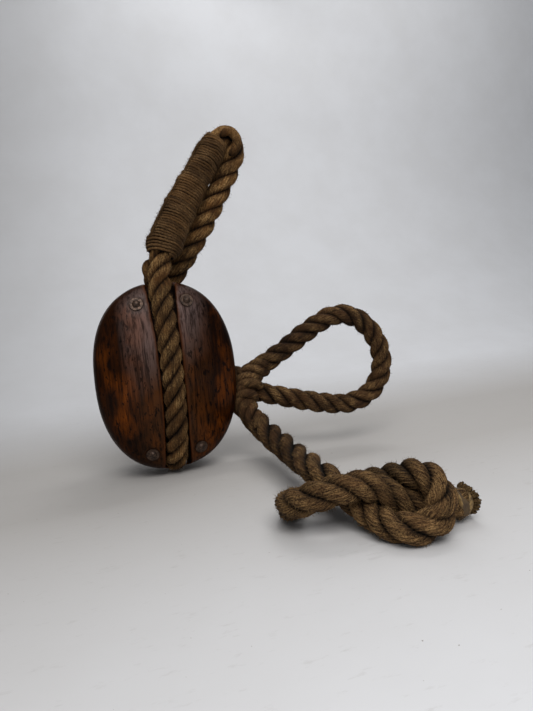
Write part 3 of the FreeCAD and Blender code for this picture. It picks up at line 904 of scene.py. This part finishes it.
def tape_material():
    """Old buff cloth tape with stains, drawn darker on the turn that its lap leaves bare."""
    made, tree, shader = material("tape")
    place = node(tree, "ShaderNodeTexCoord").outputs["Object"]
    crest = attribute(tree, "crest")
    weave = stretched_noise(tree, place, (1, 1, 1), 1900.0, 2.0, 0.6)
    stains = stretched_noise(tree, place, (1, 1, 1), 170.0, 4.0, 0.6, 3.0)
    clean = blend_colours(tree, span(tree, weave, 0.35, 0.65), shade("7d6338"), shade("9c8052"))
    dirty = blend_colours(tree, span(tree, stains, 0.42, 0.62), clean, shade("4d3b26"))
    colour = blend_colours(tree, span(tree, crest, 0.78, 0.9), shade("3f3020"), dirty)
    tree.links.new(colour, shader.inputs["Base Color"])
    shader.inputs["Roughness"].default_value = 0.82
    bump = node(tree, "ShaderNodeBump", {"Height": weave, "Strength": 0.5, "Distance": 0.0002})
    tree.links.new(bump.outputs[0], shader.inputs["Normal"])
    return made


# Loose fibres

FIBRE_RADIUS = (0.00010, 0.00021)
FIBRE_ROOT = 0.0005           # how far a fibre starts inside its rope


def add_fuzz(name, piece, count, seed, longest, crest_above=0.86):
    """Stray fibres that stand out of a rope's crests, as thin tapered spikes."""
    rng = np.random.default_rng(seed)
    mesh = piece.data
    total = len(mesh.vertices)
    points, normals, crest = np.zeros(total * 3), np.zeros(total * 3), np.zeros(total)
    mesh.vertices.foreach_get("co", points)
    mesh.vertices.foreach_get("normal", normals)
    mesh.attributes["crest"].data.foreach_get("value", crest)
    points, normals = points.reshape(-1, 3), normals.reshape(-1, 3)
    chosen = rng.choice(np.flatnonzero(crest > crest_above), count, replace=False)
    root, facing = points[chosen], normals[chosen]
    lean = unit(facing * 0.8 + rng.normal(0, 0.5, (count, 3)))
    curl = rng.normal(0, 0.35, (count, 3))
    length = rng.uniform(0.25, 1.0, (count, 1)) ** 2 * longest
    thick = rng.uniform(*FIBRE_RADIUS, (count, 1))
    side = unit(np.cross(lean, rng.normal(0, 1, (count, 3))))
    other = np.cross(lean, side)
    corners = [side, -0.5 * side + 0.87 * other, -0.5 * side - 0.87 * other]
    middle = root + lean * length * 0.55
    tip = root + (lean + curl) * length
    box_low, box_high = (np.array(corner) for corner in cad_box)
    low = [root - lean * FIBRE_ROOT + corner * thick for corner in corners]
    high = [middle + corner * thick * 0.75 for corner in corners]
    grid = np.clip(np.stack([*low, *high, tip], axis=1), box_low, box_high)
    each = grid.shape[1]
    start = np.arange(count)[:, None] * each
    faces = []
    for index in range(3):
        after = (index + 1) % 3
        faces.extend((start + [index, after, after + 3, index + 3]).tolist())
        faces.extend((start + [index + 3, after + 3, 6]).tolist())
    faces.extend((start + [2, 1, 0]).tolist())
    made = bpy.data.meshes.new(name)
    made.from_pydata(grid.reshape(-1, 3).tolist(), [], faces)
    set_values(made, "crest", np.full(count * each, 0.95))
    set_values(made, "tone", np.repeat(rng.uniform(-1, 1, count), each))
    fuzz = new_object(name, made, ends)
    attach(fuzz, "shell")
    return fuzz


# The shell

WOOD_VOXEL = 0.0010
SMOOTHING_PASSES = 3
RELAXING_PASSES = 14          # the surface is compared with one this much smoother to find its edges
EDGE_DEPTH = 0.0008
DENTS = 90
DENT_SIZES = (0.0012, 0.0018, 0.0030, 0.0065)
DENT_SHARES = (0.4, 0.3, 0.2, 0.1)
GRIME_START, GRIME_REACH = 0.0066, 0.0028   # round a rove, from its middle and beyond that


def neighbours_mean(values, edges, degree):
    """Each vertex's neighbours' mean."""
    total = np.zeros_like(values)
    for axis in range(values.shape[1]):
        total[:, axis] = (np.bincount(edges[:, 0], values[edges[:, 1], axis], len(values))
                          + np.bincount(edges[:, 1], values[edges[:, 0], axis], len(values)))
    return total / degree[:, None]


def dent_field(points, rng):
    """How deep the knocks and gouges of use are, at each point of a cheek."""
    depth = np.zeros(len(points))
    for _ in range(DENTS):
        centre = np.array([rng.uniform(-0.072, 0.072), 0, rng.uniform(-0.098, 0.098)])
        size = rng.choice(DENT_SIZES, p=DENT_SHARES)
        slope = rng.uniform(0, pi)
        shape = rng.uniform(0.25, 1.0)
        across = (points[:, 0] - centre[0]) * cos(slope) + (points[:, 2] - centre[2]) * sin(slope)
        along = (points[:, 2] - centre[2]) * cos(slope) - (points[:, 0] - centre[0]) * sin(slope)
        far = (across / (size * shape)) ** 2 + (along / size) ** 2
        depth += np.exp(-far) * rng.uniform(0.08, 0.22) * size * 0.8
    return depth


def make_cheek(name, seed):
    """A cheek as the CAD has it, with its edges rubbed round and its face dented by use."""
    rng = np.random.default_rng(seed)
    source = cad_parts[name]
    mesh = source.data.copy()
    welded = bmesh.new()
    welded.from_mesh(mesh)
    bmesh.ops.remove_doubles(welded, verts=welded.verts, dist=0.00001)
    welded.to_mesh(mesh)
    welded.free()
    mesh.materials.clear()
    rough = bpy.data.objects.new(name + "_rough", mesh)
    bpy.context.scene.collection.objects.link(rough)
    remesh = rough.modifiers.new("remesh", "REMESH")
    remesh.mode = "VOXEL"
    remesh.voxel_size = WOOD_VOXEL
    bpy.context.view_layer.update()
    depsgraph = bpy.context.evaluated_depsgraph_get()
    made = bpy.data.meshes.new_from_object(rough.evaluated_get(depsgraph))
    bpy.data.objects.remove(rough)
    made.name = name + "_worn"
    count = len(made.vertices)
    points, edges = np.zeros(count * 3), np.zeros(len(made.edges) * 2, np.int64)
    made.vertices.foreach_get("co", points)
    made.edges.foreach_get("vertices", edges)
    points, edges = points.reshape(-1, 3), edges.reshape(-1, 2)
    degree = np.bincount(edges.ravel(), minlength=count)
    for _ in range(SMOOTHING_PASSES):
        points = 0.4 * points + 0.6 * neighbours_mean(points, edges, degree)
    relaxed = points
    for _ in range(RELAXING_PASSES):
        relaxed = neighbours_mean(relaxed, edges, degree)
    made.vertices.foreach_set("co", points.ravel())
    made.update()
    normals = np.zeros(count * 3)
    made.vertices.foreach_get("normal", normals)
    normals = normals.reshape(-1, 3)
    edge = np.sum((points - relaxed) * normals, axis=1) / EDGE_DEPTH
    side = -1 if name.startswith("front") else 1
    face = np.clip(side * normals[:, 1] * 3, 0, 1)
    hand = 0.00022 * (cloud(points, 0.024, seed) - 1) + 0.00010 * (cloud(points, 0.009, seed + 1) - 1)
    points = points + normals * ((hand - dent_field(points, rng)) * face)[:, None]
    made.vertices.foreach_set("co", points.ravel())
    # painted shade in the hollows that the edge value finds, and grime in a ring round each rove
    hollow_shade_and_grime = np.clip(-edge * 1.6 - 0.1, 0, 0.9)
    for place in ("crown_left", "crown_right", "tail_left", "tail_right"):
        low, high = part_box(f"rove_{place}_{name.split('_')[0]}")
        centre = np.array((low + high) / 2)
        far = np.linalg.norm(points - centre, axis=1)
        hollow_shade_and_grime = np.maximum(hollow_shade_and_grime, np.clip(1 - (far - GRIME_START) / GRIME_REACH, 0, 1) * 0.75)
    haze = np.clip(1.25 - (np.abs(points[:, 0]) - 0.012) / 0.030, 0, 1)
    # rim: where the face turns sideways, painted darker as shade
    rim = np.clip((0.90 - np.abs(normals[:, 1])) / 0.42, 0, 1)
    # where the painted sheen lies: upper middle, near the score
    high = np.clip((points[:, 2] - 0.5 * points[:, 0] + 0.005) / 0.060, 0, 1)
    high *= np.clip((0.108 - points[:, 2]) / 0.030, 0, 1)
    for value, spread in (("edge", edge), ("hollow_shade_and_grime", hollow_shade_and_grime), ("haze", haze), ("rim", rim),
                          ("painted_sheen", haze * high)):
        set_values(made, value, spread)
    made.shade_smooth()
    piece = new_object(name + "_worn", made, wood)
    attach(piece, "shell")
    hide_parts(name)
    return piece


def paint(name, look):
    """A CAD node keeps its shape and gets a better material."""
    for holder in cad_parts[name].material_slots:
        holder.material = look


make_camera()
make_stage()
make_lights()
bpy.context.scene.view_settings.view_transform = "Standard"

fall, fall_line = make_rope("fall_rope", EYE_POINTS + SHEAVE_POINTS + TAIL_POINTS + KNOT_POINTS,
                            FALL_DIAMETER, FALL_LAY, 11, fall_shape, rope,
                            "fall_eye", "fall_round_sheave", "fall_tail", "fall_knot")
strop, strop_line = make_rope("strop_rope_laid", STROP_POINTS, STROP_DIAMETER, STROP_LAY, 5,
                              strop_shape, strop_rope, "strop_rope")
serving = make_serving(strop_line)
knuckle = make_strand_end()
splice = make_splice()
loose = make_loose_strands()
loose_fuzz = add_fuzz("loose_fibres", loose, count=500, seed=85, longest=0.006, crest_above=0.5)
tape = make_tape(fall_line)
broom = make_frayed_end(fall_line)
fall_fuzz = add_fuzz("fall_fibres", fall, count=14000, seed=81, longest=0.0036)
strop_fuzz = add_fuzz("strop_fibres", strop, count=9500, seed=82, longest=0.0040)
serving_fuzz = add_fuzz("serving_fibres", serving, count=5000, seed=83, longest=0.0038)
broom_fuzz = add_fuzz("broom_fibres", broom, count=700, seed=84, longest=0.003)

wood = wood_material("shell_wood")
make_cheek("front_cheek", 91)
make_cheek("rear_cheek", 92)
copper = metal_material("rivet_copper", "5d483a", "47362b", "2a1e17", 0.6, 0.38, 0.60)
bronze = metal_material("bronze", "a3824c", "7c6137", "4a3a22", 0.9, 0.28, 0.5)
iron = metal_material("iron", "77726c", "55504b", "33261c", 0.85, 0.35, 0.6)
sheave_wood = sheave_wood_material()
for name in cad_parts:
    if name.endswith("_chock"):
        paint(name, wood)
    elif name.startswith(("rivet_", "rove_")):
        paint(name, copper)
    elif name.startswith("coak") or name == "sheave_bush":
        paint(name, bronze)
    elif name == "pin":
        paint(name, iron)
    elif name == "sheave":
        paint(name, sheave_wood)
